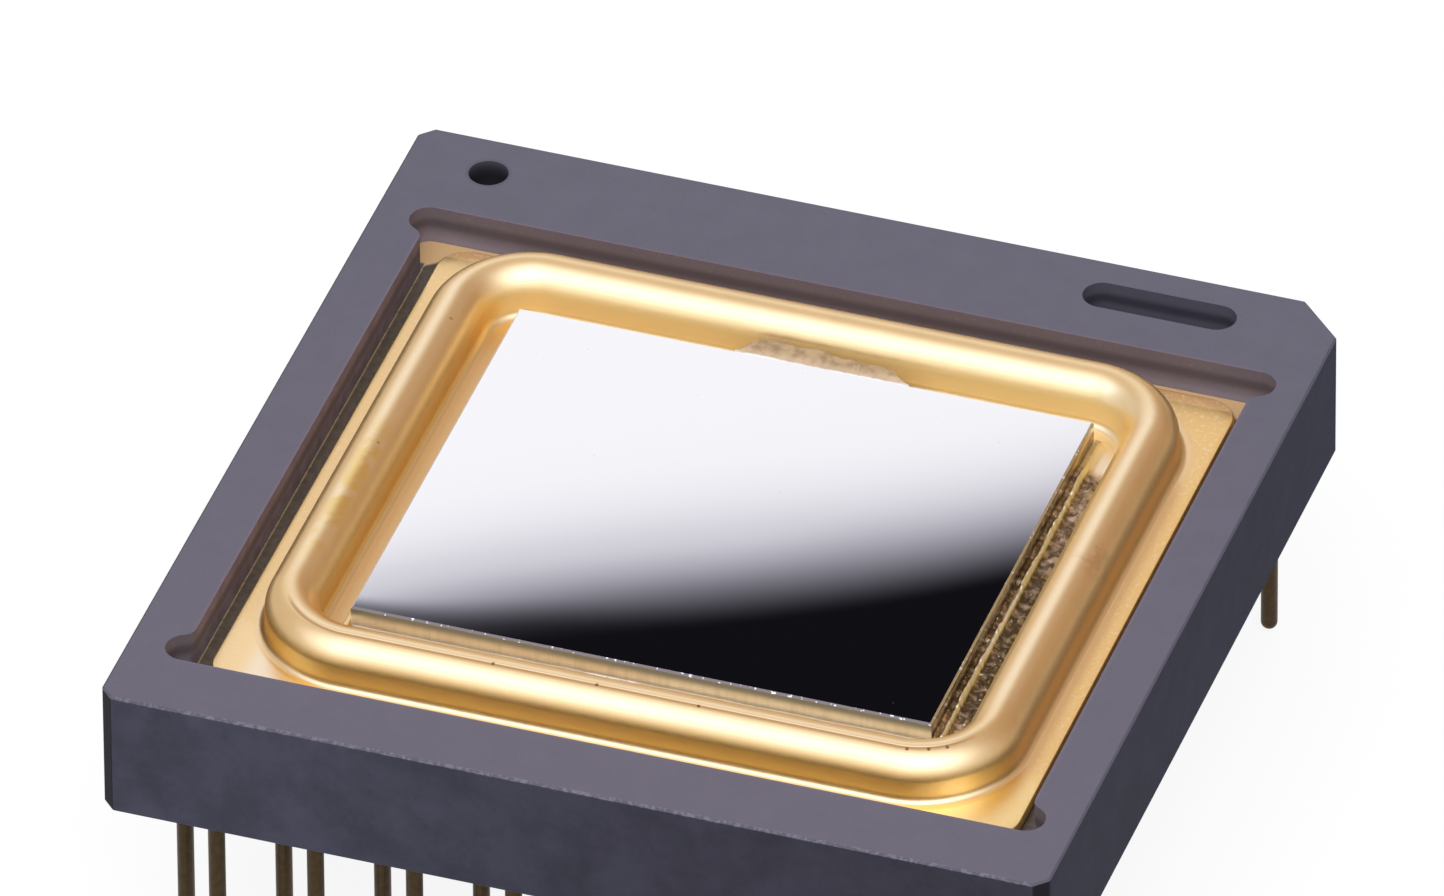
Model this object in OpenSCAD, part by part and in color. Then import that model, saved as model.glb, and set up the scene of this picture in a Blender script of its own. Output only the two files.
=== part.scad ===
// Infrared detector in a co-fired ceramic pin grid package, with a stamped gold lid and a soldered window
// Millimetres, +Z up. The pin tips stand on z = 0 and the body is centred on the Z axis

/* [Ceramic body] */
// Width of the ceramic body
body_w = 24.13; // [24:0.01:26]
// Depth of the ceramic body
body_d = 24.13; // [24:0.01:26]
// Thickness of the ceramic body
body_h = 3.5; // [3.3:0.05:5]
// Chamfer at three of the body's upright corners
corner_cut = 0.34; // [0.1:0.02:0.6]
// Chamfer at the upright corner that marks the first pin
index_cut = 1.2; // [0.8:0.05:1.5]
// Radius that softens the corners of the body's outline
outline_r = 0.15; // [0.05:0.05:0.25]
// Small bevel along the body's top and bottom edges
edge_bevel = 0.05; // [0.02:0.01:0.1]

/* [Lid recess] */
// Width of the rim left of the recess that takes the lid
rim_left = 1.415; // [1.2:0.005:2.5]
// Width of the rim right of the recess
rim_right = 1.315; // [1.2:0.005:2.5]
// Width of the rim in front of the recess
rim_front = 1.93; // [1.2:0.01:2.5]
// Width of the rim behind the recess, where the locating hole and slot are
rim_back = 3.1; // [2.8:0.01:3.5]
// How far the recess is sunk into the body
recess_sink = 1.05; // [0.8:0.05:1.3]
// Radius of the round reliefs in the recess corners
relief_r = 0.5; // [0.3:0.05:0.6]
// Fillet between a relief and the recess side wall
relief_fillet = 0.35; // [0.1:0.05:0.5]

/* [Locating features] */
// Diameter of the round locating hole
hole_d = 1.0; // [0.6:0.05:1.2]
// Locating hole centre, in from the body's left side
hole_from_left = 2.185; // [1.8:0.005:3]
// Locating hole and slot centres, in from the body's back
locator_from_back = 1.34; // [1.1:0.01:1.5]
// Width of the locating slot
slot_w = 1.0; // [0.6:0.05:1.2]
// Overall length of the locating slot
slot_l = 3.94; // [2.5:0.02:4.4]
// Locating slot centre, in from the body's right side
slot_from_right = 4.525; // [4:0.005:6]
// Depth of the locating hole and slot
locator_sink = 1.05; // [0.8:0.05:1.5]

/* [Inner cavity] */
// Width of the seal land left round the upper cavity
seal_land = 1.55; // [1.3:0.05:1.7]
// Bond shelf, below the recess floor
shelf_sink = 0.6; // [0.5:0.05:0.8]
// Width of the bond shelf at the front and back
shelf_d = 1.7; // [1.6:0.05:1.8]
// Width of the shelf at the left and right
shelf_w = 1.3; // [1.2:0.05:1.4]
// Die cavity floor, below the bond shelf
die_sink = 0.85; // [0.8:0.05:0.95]

/* [Lid frame] */
// Gap between the lid's edge and the recess wall at each side
lid_gap = 0.46; // [0.2:0.02:0.5]
// Thickness of the lid's sheet
lid_t = 0.25; // [0.15:0.01:0.3]
// Corner radius of the lid's flange
lid_corner_r = 0.8; // [0.5:0.05:1.2]
// Flange width beside the bead, left and right
flange_w = 0.62; // [0.55:0.01:0.7]
// Flange width beside the bead, front and back
flange_d = 0.57; // [0.5:0.01:0.65]
// Outside radius of the bead's round top
bead_r = 0.68; // [0.6:0.01:0.72]
// Height of the bead above the flange
bead_h = 1.27; // [1.1:0.01:1.5]
// Corner radius of the bead's outer wall, seen from above
bead_corner_r = 2.6; // [2.2:0.05:3]
// Inside bend radius where the bead meets the flange
foot_r = 0.18; // [0.1:0.01:0.2]
// How far the lid's ledge reaches in under the window
window_seat = 0.9; // [0.6:0.05:1.2]

/* [Window] */
// Ledge left clear between the window and the foot of the bead
window_gap = 0.66; // [0.4:0.01:0.9]
// Thickness of the window plate
window_t = 0.725; // [0.6:0.005:0.8]
// Bevel along the window's upper and lower edges
window_bevel = 0.05; // [0.02:0.01:0.08]

/* [Solder and metallisation] */
// Thickness of the gold metallisation on the ceramic
metal_t = 0.02; // [0.01:0.01:0.04]
// Bare ceramic left between the metallisation and the walls round it
metal_gap = 0.02; // [0.01:0.01:0.05]
// Thickness of the solder under the lid and under the window
solder_t = 0.04; // [0.02:0.01:0.06]
// Radius of the solder fillet round the window
solder_fillet_r = 0.16; // [0.1:0.01:0.2]
// Thickness of the solder run out over the right ledge
solder_run_t = 0.09; // [0.06:0.01:0.12]

/* [Detector die] */
// Gap between the silicon die and the cavity's left and right walls
die_side_gap = 1.25; // [0.6:0.05:2]
// Gap between the die and the cavity's front and back walls
die_end_gap = 0.6; // [0.3:0.05:0.9]
// Thickness of the silicon die
die_t = 0.725; // [0.6:0.005:0.75]
// Die left round the bolometer array at its left and right
array_side = 1; // [0.6:0.05:2]
// Die left in front of the array and behind it, where the bond pads are
array_end = 1.5; // [1:0.05:2]
// Height of the bolometer array and the bond pads above the die
array_t = 0.02; // [0.01:0.01:0.03]
// Thickness of the die attach layer
attach_t = 0.05; // [0.03:0.01:0.08]
// Side of a square bond pad on the die
die_pad = 0.16; // [0.1:0.01:0.2]
// Bond pad centres, in from the die's front and back edges
die_pad_inset = 0.3; // [0.2:0.05:0.5]

/* [Bond wires] */
// Spacing of the wires
wire_pitch = 0.62; // [0.5:0.01:1]
// Die left without wires at each end of a row of pads
wire_margin = 1.3; // [0.6:0.05:3]
// Diameter of a bond wire
wire_d = 0.05; // [0.03:0.005:0.06]
// Length of a shelf finger
finger_l = 0.9; // [0.6:0.05:1.2]
// Width of a shelf finger
finger_w = 0.3; // [0.2:0.02:0.4]
// Shelf finger, back from the shelf's edge
finger_inset = 0.1; // [0.05:0.05:0.2]

/* [Getter] */
// Length of the getter strip
getter_l = 8; // [6:0.1:9]
// Width of the getter strip
getter_w = 0.9; // [0.6:0.05:1]
// Thickness of the getter strip
getter_t = 0.15; // [0.1:0.01:0.2]
// Height of the two tabs that hold the strip off the shelf
getter_lift = 0.12; // [0.08:0.01:0.15]
// Length of one tab
getter_tab_l = 0.6; // [0.4:0.05:1]

/* [Lead pins] */
// Pin spacing along a row
pin_pitch = 2.54; // [2.5:0.01:2.56]
// Pins in each of the four staggered rows
pins_per_row = 9; // [5:1:9]
// Foremost and rearmost rows, in from the body's front and back
row_inset = 1.27; // [1.1:0.01:1.6]
// Diameter of a pin
pin_d = 0.42; // [0.38:0.01:0.5]
// Length of a pin below the body
pin_l = 4.8; // [3:0.1:6]
// Diameter of the flat head that a pin is brazed by
head_d = 0.72; // [0.6:0.02:0.76]
// Thickness of that head
head_t = 0.15; // [0.1:0.01:0.2]
// Diameter of the braze pad under the body
pad_d = 1.2; // [1.1:0.02:1.3]
// Thickness of the braze between head and pad
braze_t = 0.03; // [0.02:0.01:0.05]
// Thickness of the braze round the lower rim of the head
braze_wall = 0.03; // [0.02:0.01:0.06]
// Pad left bare outside the braze
braze_inset = 0.08; // [0.04:0.01:0.12]

/* [Hidden] */
ROW_COUNT = 4;
PIN_NODES = [for (n = [1 : ROW_COUNT * pins_per_row]) str("pin_", n < 10 ? "0" : "", n)];

$fn = 48;
eps = 0.01;

// Levels, from the pin tips up
body_bottom = pin_l;
body_top = body_bottom + body_h;
recess_floor = body_top - recess_sink;
shelf_top = recess_floor - shelf_sink;
die_floor = shelf_top - die_sink;
lid_bottom = recess_floor + metal_t + solder_t;
lid_top = lid_bottom + lid_t;
bead_axis_z = lid_top + bead_h - bead_r;
window_bottom = lid_top + solder_t;
die_bottom = die_floor + metal_t + attach_t;
die_top = die_bottom + die_t;
finger_top = shelf_top + metal_t;

// Plan sizes, from the body inwards
recess_w = body_w - rim_left - rim_right;
recess_d = body_d - rim_front - rim_back;
recess_x = (rim_left - rim_right) / 2;
recess_y = (rim_front - rim_back) / 2;
cavity_w = recess_w - 2 * seal_land;
cavity_d = recess_d - 2 * seal_land;
die_cavity_w = cavity_w - 2 * shelf_w;
die_cavity_d = cavity_d - 2 * shelf_d;
lid_w = recess_w - 2 * lid_gap;
lid_d = recess_d - 2 * lid_gap;
crest_w = lid_w - 2 * (flange_w + bead_r);
crest_d = lid_d - 2 * (flange_d + bead_r);
crest_r = bead_corner_r - bead_r;
foot_reach = bead_r + foot_r;
window_w = crest_w - 2 * (foot_reach + window_gap);
window_d = crest_d - 2 * (foot_reach + window_gap);
die_w = die_cavity_w - 2 * die_side_gap;
die_d = die_cavity_d - 2 * die_end_gap;
wires_per_side = floor((die_w - 2 * wire_margin) / wire_pitch) + 1;
aperture_w = window_w - 2 * window_seat;
aperture_d = window_d - 2 * window_seat;
getter_x = -(die_cavity_w + shelf_w) / 2;

// Bond wires, with their two ends at one level and measured from the cavity centre
die_pad_y = die_d / 2 - die_pad_inset;
finger_y = die_cavity_d / 2 + finger_inset + finger_l / 2;
wire_span = finger_y - die_pad_y;
wire_arc = 120;
wire_r = wire_span / 2 / sin(wire_arc / 2);
die_pad_top = die_top + array_t;
wire_end_z = max(finger_top, die_pad_top) + wire_d;
bond_d = 2 * wire_d;
bond_top = wire_end_z + wire_d;

// Pin rows, from front to back
row_step = pin_pitch / 2;
outer_row = body_d / 2 - row_inset;
inner_row = outer_row - row_step;
row_y = [-outer_row, -inner_row, inner_row, outer_row];
row_shift = [row_step / 2, -row_step / 2, row_step / 2, -row_step / 2];
head_top = body_bottom - metal_t - braze_t;
head_bottom = head_top - head_t;

// Plain shapes

function unit(v) = v / norm(v);
function half_angle(a, p, b) = acos(unit(a - p) * unit(b - p)) / 2;
function arc_centre(a, p, b, r) = p + r / sin(half_angle(a, p, b)) * unit(unit(a - p) + unit(b - p));
function arc_ends(a, p, b, r) =
    let (t = r / tan(half_angle(a, p, b)))
    [p + t * unit(a - p), p + t * unit(b - p)];

// Convex outline with an arc of radius r at each corner
module rounded_outline(corners, r) {
    n = len(corners);
    polygon([for (i = [0 : n - 1]) each arc_ends(corners[(i + n - 1) % n], corners[i], corners[(i + 1) % n], r)]);
    for (i = [0 : n - 1])
        translate(arc_centre(corners[(i + n - 1) % n], corners[i], corners[(i + 1) % n], r)) circle(r);
}

module rounded_rect(w, d, r) {
    square([w - 2 * r, d], center = true);
    square([w, d - 2 * r], center = true);
    for (x = [-1, 1], y = [-1, 1])
        translate([x * (w / 2 - r), y * (d / 2 - r)]) circle(r);
}

module block(w, d, z_low, z_high) {
    translate([-w / 2, -d / 2, z_low]) cube([w, d, z_high - z_low]);
}

module flat_ring(w, d, r, in_w, in_d, in_r, z, t) {
    translate([0, 0, z]) linear_extrude(t) difference() {
        rounded_rect(w, d, r);
        rounded_rect(in_w, in_d, in_r);
    }
}

// Sweeps a section round a rounded rectangle, with the section's x pointing outward and its y up
module swept_ring(w, d, r) {
    for (side = [0 : 3]) {
        out = (side % 2 == 0 ? w : d) / 2;
        along = (side % 2 == 0 ? d : w) / 2 - r;
        rotate(90 * side) {
            translate([out, along, 0]) rotate([90, 0, 0]) linear_extrude(2 * along) children();
            translate([out - r, along, 0]) rotate_extrude(angle = 90) translate([r, 0]) children();
        }
    }
}

module at_recess() {
    translate([recess_x, recess_y, 0]) children();
}

// Ceramic package

function body_corners(w, d) = [
    [-w + corner_cut, -d], [w - corner_cut, -d], [w, -d + corner_cut],
    [w, d - index_cut], [w - index_cut, d],
    [-w + corner_cut, d], [-w, d - corner_cut], [-w, -d + corner_cut]
];

// Cuts a small bevel along a level edge from p to q, with the body on its left
module edge_cut(p, q, z) {
    run = q - p;
    b = edge_bevel + eps;
    translate([p.x, p.y, z]) rotate([0, 0, atan2(run.y, run.x)]) rotate([90, 0, 90])
        linear_extrude(norm(run)) polygon([[-eps, -b], [b, eps], [-eps, eps]]);
}

module body_blank() {
    corners = body_corners(body_w / 2, body_d / 2);
    count = len(corners);
    difference() {
        translate([0, 0, body_bottom]) linear_extrude(body_h) rounded_outline(corners, outline_r);
        for (i = [0 : count - 1]) {
            edge_cut(corners[i], corners[(i + 1) % count], body_top);
            translate([0, 0, body_bottom]) mirror([0, 0, 1]) edge_cut(corners[i], corners[(i + 1) % count], 0);
        }
    }
}

// One corner relief, for the corner at +x, +y, with the fillet that leads into the side wall
module relief() {
    side = recess_w / 2;
    centre_y = recess_d / 2 - relief_r;
    fillet_y = centre_y - sqrt(pow(relief_r + relief_fillet, 2) - pow(relief_fillet, 2));
    translate([side, centre_y]) circle(relief_r);
    difference() {
        polygon([[side - eps, centre_y], [side, centre_y], [side + relief_fillet, fillet_y], [side - eps, fillet_y]]);
        translate([side + relief_fillet, fillet_y]) circle(relief_fillet);
    }
}

module recess_outline() {
    square([recess_w, recess_d], center = true);
    for (x = [0, 1], y = [0, 1]) mirror([x, 0]) mirror([0, y]) relief();
}

module locating_hole() {
    translate([-body_w / 2 + hole_from_left, body_d / 2 - locator_from_back, body_top - locator_sink])
        cylinder(d = hole_d, h = locator_sink + eps);
}

module locating_slot() {
    reach = (slot_l - slot_w) / 2;
    translate([body_w / 2 - slot_from_right, body_d / 2 - locator_from_back, body_top - locator_sink]) {
        for (x = [-reach, reach]) translate([x, 0, 0]) cylinder(d = slot_w, h = locator_sink + eps);
        translate([-reach, -slot_w / 2, 0]) cube([2 * reach, slot_w, locator_sink + eps]);
    }
}

module ceramic_package() {
    color([0.42, 0.41, 0.48]) difference() {
        body_blank();
        at_recess() {
            translate([0, 0, recess_floor]) linear_extrude(recess_sink + eps) recess_outline();
            block(cavity_w, cavity_d, shelf_top, recess_floor + eps);
            block(die_cavity_w, die_cavity_d, die_floor, shelf_top + eps);
        }
        locating_hole();
        locating_slot();
    }
}

// Gold metallisation on the recess floor, that the lid is soldered to
module seal_ring() {
    color([0.93, 0.76, 0.45]) at_recess() difference() {
        block(recess_w - 2 * metal_gap, recess_d - 2 * metal_gap, recess_floor, recess_floor + metal_t);
        block(cavity_w, cavity_d, recess_floor - eps, recess_floor + metal_t + eps);
    }
}

// Lid

module bead_outside() {
    translate([0, bead_axis_z]) circle(bead_r);
    translate([-bead_r, lid_bottom]) square([2 * bead_r, bead_axis_z - lid_bottom]);
    for (side = [0, 1]) mirror([side, 0]) difference() {
        translate([bead_r - eps, lid_bottom]) square([foot_r + eps, lid_t + foot_r]);
        translate([foot_reach, lid_top + foot_r]) circle(foot_r);
    }
}

module bead_inside() {
    inner_r = bead_r - lid_t;
    translate([0, bead_axis_z]) circle(inner_r);
    translate([-inner_r, lid_bottom - eps]) square([2 * inner_r, bead_axis_z - lid_bottom + eps]);
    for (side = [0, 1]) mirror([side, 0]) difference() {
        translate([inner_r - eps, lid_bottom - eps]) square([foot_reach - inner_r + eps, lid_t + foot_r + eps]);
        translate([foot_reach, lid_top + foot_r]) circle(foot_r + lid_t);
        translate([foot_reach - eps, lid_bottom - 2 * eps]) square([2 * eps, lid_t + foot_r + 4 * eps]);
    }
}

module lid_frame() {
    color([0.93, 0.74, 0.42]) at_recess() difference() {
        union() {
            translate([0, 0, lid_bottom]) linear_extrude(lid_t) rounded_rect(lid_w, lid_d, lid_corner_r);
            swept_ring(crest_w, crest_d, crest_r) bead_outside();
        }
        swept_ring(crest_w, crest_d, crest_r) bead_inside();
        block(aperture_w, aperture_d, lid_bottom - eps, lid_top + eps);
    }
}

// Solder between the lid's flange and the seal ring
module lid_preform() {
    in_r = crest_r + foot_reach;
    color([0.8, 0.7, 0.5]) at_recess()
        flat_ring(
            lid_w, lid_d, lid_corner_r,
            crest_w + 2 * foot_reach, crest_d + 2 * foot_reach, in_r,
            recess_floor + metal_t, solder_t
        );
}

// Solder under the window, its fillet round the edge and the run over the right ledge
module window_solder() {
    color([0.45, 0.36, 0.26]) at_recess() {
        difference() {
            block(window_w + eps, window_d + eps, lid_top, window_bottom);
            block(aperture_w, aperture_d, lid_top - eps, window_bottom + eps);
        }
        translate([0, 0, lid_top]) swept_ring(window_w, window_d, 0) difference() {
            square([solder_fillet_r, solder_t + solder_fillet_r]);
            translate([solder_fillet_r + eps, solder_t + solder_fillet_r]) circle(solder_fillet_r);
        }
        translate([window_w / 2, -window_d / 2, lid_top])
            cube([window_gap, window_d, solder_run_t]);
    }
}

module infrared_window() {
    low = window_bottom;
    high = window_bottom + window_t;
    b = window_bevel;
    color([0.75, 0.76, 0.82]) at_recess() intersection() {
        translate([0, window_d / 2, 0]) rotate([90, 0, 0]) linear_extrude(window_d)
            bevelled_section(window_w, low, high, b);
        translate([-window_w / 2, 0, 0]) rotate([90, 0, 90]) linear_extrude(window_w)
            bevelled_section(window_d, low, high, b);
    }
}

module bevelled_section(w, low, high, b) {
    h = w / 2;
    polygon([
        [-h + b, low], [h - b, low], [h, low + b], [h, high - b],
        [h - b, high], [-h + b, high], [-h, high - b], [-h, low + b]
    ]);
}

// Die and its attachment

function wire_x(n) = (n - (wires_per_side - 1) / 2) * wire_pitch;

module each_wire() {
    for (side = [0, 1], n = [0 : wires_per_side - 1])
        rotate(180 * side) translate([wire_x(n), 0, 0]) children();
}

module detector_die() {
    color([0.35, 0.33, 0.38]) at_recess() {
        block(die_w, die_d, die_bottom, die_top);
        block(die_w - 2 * array_side, die_d - 2 * array_end, die_top - eps, die_top + array_t);
        each_wire() translate([0, die_pad_y, 0]) block(die_pad, die_pad, die_top - eps, die_top + array_t);
    }
}

module die_attach() {
    color([0.7, 0.7, 0.72]) at_recess() block(die_w, die_d, die_floor + metal_t, die_bottom);
}

module die_pad_metal() {
    color([0.93, 0.76, 0.45]) at_recess()
        block(die_cavity_w - 2 * metal_gap, die_cavity_d - 2 * metal_gap, die_floor, die_floor + metal_t);
}

module bond_fingers() {
    color([0.93, 0.76, 0.45]) at_recess()
        each_wire() translate([0, finger_y, 0]) block(finger_w, finger_l, shelf_top, finger_top);
}

// Each wire is a low arc from a ball on the die to a stitch on the shelf
module bond_wires() {
    color([0.95, 0.8, 0.5]) at_recess() each_wire() {
        translate([0, die_pad_y + wire_span / 2, wire_end_z - wire_r * cos(wire_arc / 2)])
            rotate([0, -90, 0]) rotate([0, 0, -wire_arc / 2])
            rotate_extrude(angle = wire_arc) translate([wire_r, 0]) circle(d = wire_d);
        translate([0, die_pad_y, die_pad_top]) cylinder(d = bond_d, h = bond_top - die_pad_top);
        translate([0, finger_y, finger_top]) cylinder(d = bond_d, h = bond_top - finger_top);
    }
}

// Getter

module getter_tabs() {
    color([0.7, 0.7, 0.68]) at_recess()
        for (y = [-1, 1]) translate([getter_x, y * (getter_l - getter_tab_l) / 2, 0])
            block(getter_w, getter_tab_l, shelf_top, shelf_top + getter_lift);
}

module getter_strip() {
    color([0.4, 0.4, 0.42]) at_recess() translate([getter_x, 0, 0])
        block(getter_w, getter_l, shelf_top + getter_lift, shelf_top + getter_lift + getter_t);
}

// Lead pins

function pin_place(i) =
    let (row = floor(i / pins_per_row), n = i % pins_per_row)
    [(n - (pins_per_row - 1) / 2) * pin_pitch + row_shift[row], row_y[row], 0];

module each_pin() {
    for (i = [0 : ROW_COUNT * pins_per_row - 1]) translate(pin_place(i)) children();
}

module pin(i) {
    color([0.36, 0.31, 0.22]) translate(pin_place(i)) {
        translate([0, 0, pin_d / 2]) sphere(d = pin_d);
        translate([0, 0, pin_d / 2]) cylinder(d = pin_d, h = head_top - pin_d / 2);
        translate([0, 0, head_bottom]) cylinder(d = head_d, h = head_t);
    }
}

module pin_pads() {
    color([0.93, 0.76, 0.45]) each_pin()
        translate([0, 0, body_bottom - metal_t]) cylinder(d = pad_d, h = metal_t);
}

// Braze under each pad, drawn up round the rim of the pin's head
module pin_brazes() {
    low_r = head_d / 2 + braze_wall;
    high_r = pad_d / 2 - braze_inset;
    color([0.8, 0.74, 0.6]) each_pin() difference() {
        translate([0, 0, head_bottom]) cylinder(r1 = low_r, r2 = high_r, h = head_t + braze_t);
        translate([0, 0, head_bottom - eps]) cylinder(d = head_d, h = head_t + eps);
    }
}

ceramic_package();
seal_ring();
lid_preform();
lid_frame();
window_solder();
infrared_window();
detector_die();
die_attach();
die_pad_metal();
bond_fingers();
bond_wires();
getter_strip();
getter_tabs();
pin_pads();
pin_brazes();
for (i = [0 : len(PIN_NODES) - 1])
    pin(i);
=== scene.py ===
"""Looks of the infrared detector: camera, light, materials, and the finely shaped gold lid and solder.

Lengths in this file are in millimetres until a mesh or a place is handed to Blender, which works in metres.
"""

import math

import bpy
import numpy as np
from mathutils import Matrix, Vector, noise

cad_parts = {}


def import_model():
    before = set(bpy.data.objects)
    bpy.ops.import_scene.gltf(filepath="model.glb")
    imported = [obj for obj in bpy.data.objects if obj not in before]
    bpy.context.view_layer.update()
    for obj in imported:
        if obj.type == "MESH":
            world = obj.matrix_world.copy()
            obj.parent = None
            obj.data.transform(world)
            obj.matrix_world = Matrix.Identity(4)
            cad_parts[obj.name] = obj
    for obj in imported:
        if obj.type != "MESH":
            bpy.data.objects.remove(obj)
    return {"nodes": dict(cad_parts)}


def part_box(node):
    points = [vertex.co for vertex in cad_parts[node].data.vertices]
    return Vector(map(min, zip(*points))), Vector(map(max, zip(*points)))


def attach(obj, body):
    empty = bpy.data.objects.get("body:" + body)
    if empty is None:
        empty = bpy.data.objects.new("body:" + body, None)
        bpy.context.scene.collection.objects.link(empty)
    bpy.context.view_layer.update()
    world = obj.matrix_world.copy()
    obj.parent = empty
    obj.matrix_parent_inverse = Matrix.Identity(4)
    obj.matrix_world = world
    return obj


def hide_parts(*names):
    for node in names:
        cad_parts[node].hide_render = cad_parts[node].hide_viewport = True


MM = 0.001
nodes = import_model()["nodes"]
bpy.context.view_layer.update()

# The photograph's camera, in the part's own frame
CAMERA_PLACE = (195.69, -574.00, 474.55)
CAMERA_RIGHT = (0.94776, 0.31894, -0.00552)
CAMERA_DOWN = (0.18983, -0.57782, -0.79378)
SENSOR_WIDTH = 36.0
FOCAL_PIXELS = 31402.0
FRAME_PIXELS = 1444.0


def add_object(name, data):
    made = bpy.data.objects.new(name, data)
    bpy.context.scene.collection.objects.link(made)
    return made


def make_camera():
    """The photograph's camera: Blender's looks along its own -z, with y up."""
    right, down = Vector(CAMERA_RIGHT).normalized(), Vector(CAMERA_DOWN)
    up = -(down - right * down.dot(right)).normalized()
    back = right.cross(up)
    data = bpy.data.cameras.new("camera")
    data.sensor_width = SENSOR_WIDTH
    data.lens = FOCAL_PIXELS * SENSOR_WIDTH / FRAME_PIXELS
    camera = add_object("camera", data)
    turn = Matrix((right, up, back)).transposed().to_4x4()
    camera.matrix_world = Matrix.Translation(Vector(CAMERA_PLACE) * MM) @ turn
    bpy.context.scene.camera = camera


# Shader nodes


class Shader:
    """A material, or the world, with short ways to add and join its nodes."""

    def __init__(self, owner):
        owner.use_nodes = True
        self.tree = owner.node_tree
        self.tree.nodes.clear()

    def add(self, kind, links=None, **values):
        node = self.tree.nodes.new(kind)
        for name, value in values.items():
            setattr(node, name, value)
        for name, value in (links or {}).items():
            self.put(node.inputs[name], value)
        return node

    def put(self, socket, value):
        """Joins a socket to another, or gives it a value. A colour needs no alpha."""
        if isinstance(value, bpy.types.NodeSocket):
            self.tree.links.new(value, socket)
        else:
            socket.default_value = (*value, 1.0) if socket.type == "RGBA" else value

    # Numbers

    def maths(self, operation, *values, clamp=False):
        links = dict(enumerate(values))
        return self.add("ShaderNodeMath", links, operation=operation, use_clamp=clamp).outputs[0]

    def magnitude(self, value):
        return self.maths("ABSOLUTE", value)

    def minus(self, value, other):
        return self.maths("SUBTRACT", value, other)

    def times(self, *values):
        total = values[0]
        for value in values[1:]:
            total = self.maths("MULTIPLY", total, value)
        return total

    def largest(self, *values):
        most = values[0]
        for value in values[1:]:
            most = self.maths("MAXIMUM", most, value)
        return most

    def smooth(self, value, low, high, out_low=0.0, out_high=1.0):
        """Goes smoothly from out_low to out_high as the value goes from low to high, and stays there beyond them."""
        links = {"Value": value, "From Min": low, "From Max": high, "To Min": out_low, "To Max": out_high}
        return self.add("ShaderNodeMapRange", links, interpolation_type="SMOOTHSTEP").outputs[0]

    def near(self, value, middle, inner, outer):
        """1 within inner of the middle value, falling to 0 at outer."""
        return self.smooth(self.magnitude(self.minus(value, middle)), inner, outer, 1.0, 0.0)

    def noise(self, scale, detail=4.0, roughness=0.55, vector=None):
        """Noise from 0 to 1, with its scale in cells a millimetre."""
        links = {"Vector": vector or self.place(), "Scale": scale / MM, "Detail": detail, "Roughness": roughness}
        return self.add("ShaderNodeTexNoise", links).outputs[0]

    # Places and directions

    def vector(self, operation, *values):
        node = self.add("ShaderNodeVectorMath", dict(enumerate(values)), operation=operation)
        return node.outputs["Value" if operation in ("LENGTH", "DISTANCE", "DOT_PRODUCT") else 0]

    def axes(self, vector):
        """The x, y and z of a vector."""
        return self.add("ShaderNodeSeparateXYZ", {0: vector}).outputs[:3]

    def place(self):
        """Where the shaded point lies in the part's frame, in metres."""
        return self.add("ShaderNodeTexCoord").outputs["Object"]

    def millimetres(self, centre=(0, 0, 0)):
        """The shaded point in millimetres, from a centre."""
        return self.vector("SUBTRACT", self.vector("MULTIPLY", self.place(), (1 / MM,) * 3), centre)

    def normal(self):
        return self.add("ShaderNodeNewGeometry").outputs["Normal"]

    def across(self, centre, half, radius):
        """How far the shaded point lies outside a rounded rectangle, in millimetres."""
        corner = self.vector("ABSOLUTE", self.millimetres((*centre, 0)))
        corner = self.vector("SUBTRACT", corner, (half[0] - radius, half[1] - radius, 0))
        corner = self.vector("MULTIPLY", self.vector("MAXIMUM", corner, (0, 0, 0)), (1, 1, 0))
        return self.minus(self.vector("LENGTH", corner), radius)

    def bump(self, height, distance, normal=None):
        """A normal that follows a height from 0 to 1, which stands for a distance in millimetres."""
        links = {"Height": height, "Distance": distance * MM}
        if normal is not None:
            links["Normal"] = normal
        return self.add("ShaderNodeBump", links).outputs[0]

    # Colours

    def mix(self, share, first, second, kind="MIX"):
        # The node has sockets for each type of value: those for colours are inputs 6 and 7 and output 2
        links = {0: share, 6: first, 7: second}
        return self.add("ShaderNodeMix", links, data_type="RGBA", blend_type=kind).outputs[2]

    def grade(self, value, low, high, first, second):
        """Goes smoothly from the first colour to the second as the value goes from low to high."""
        return self.mix(self.smooth(value, low, high), first, second)

    def over(self, colour, new, *shares):
        """Lays a new colour over another, by the product of some shares."""
        return self.mix(self.times(*shares), colour, new)

    def tinted(self, colour, factor):
        """Multiplies a colour by another."""
        return self.mix(1.0, colour, factor, "MULTIPLY")

    def ramp(self, value, stops):
        """The colour at a value from 0 to 1, from stops of a place and a colour."""
        node = self.add("ShaderNodeValToRGB", {"Fac": value})
        band = node.color_ramp
        while len(band.elements) < len(stops):
            band.elements.new(0.5)
        for element, (at, colour) in zip(band.elements, stops):
            element.position = at
            element.color = (*colour, 1.0)
        return node.outputs[0]

    # Surfaces

    def surface(self, **values):
        """The main shader, with its sockets named in lower case and joined by underscores."""
        node = self.add("ShaderNodeBsdfPrincipled")
        names = {socket.name.lower().replace(" ", "_"): socket for socket in node.inputs}
        for name, value in values.items():
            self.put(names[name], value)
        return node.outputs[0]

    def blend(self, share, first, second):
        """Goes from the first shader to the second as the share goes from 0 to 1."""
        return self.add("ShaderNodeMixShader", {0: share, 1: first, 2: second}).outputs[0]

    def end(self, shader, kind="ShaderNodeOutputMaterial"):
        self.add(kind, {"Surface": shader})


def material(name):
    made = bpy.data.materials.new(name)
    return made, Shader(made)


def dress(node, made):
    """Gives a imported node's object a new material in each of its slots."""
    mesh = nodes[node].data
    for i in range(len(mesh.materials)):
        mesh.materials[i] = made
    if not mesh.materials:
        mesh.materials.append(made)


# Stage

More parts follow.
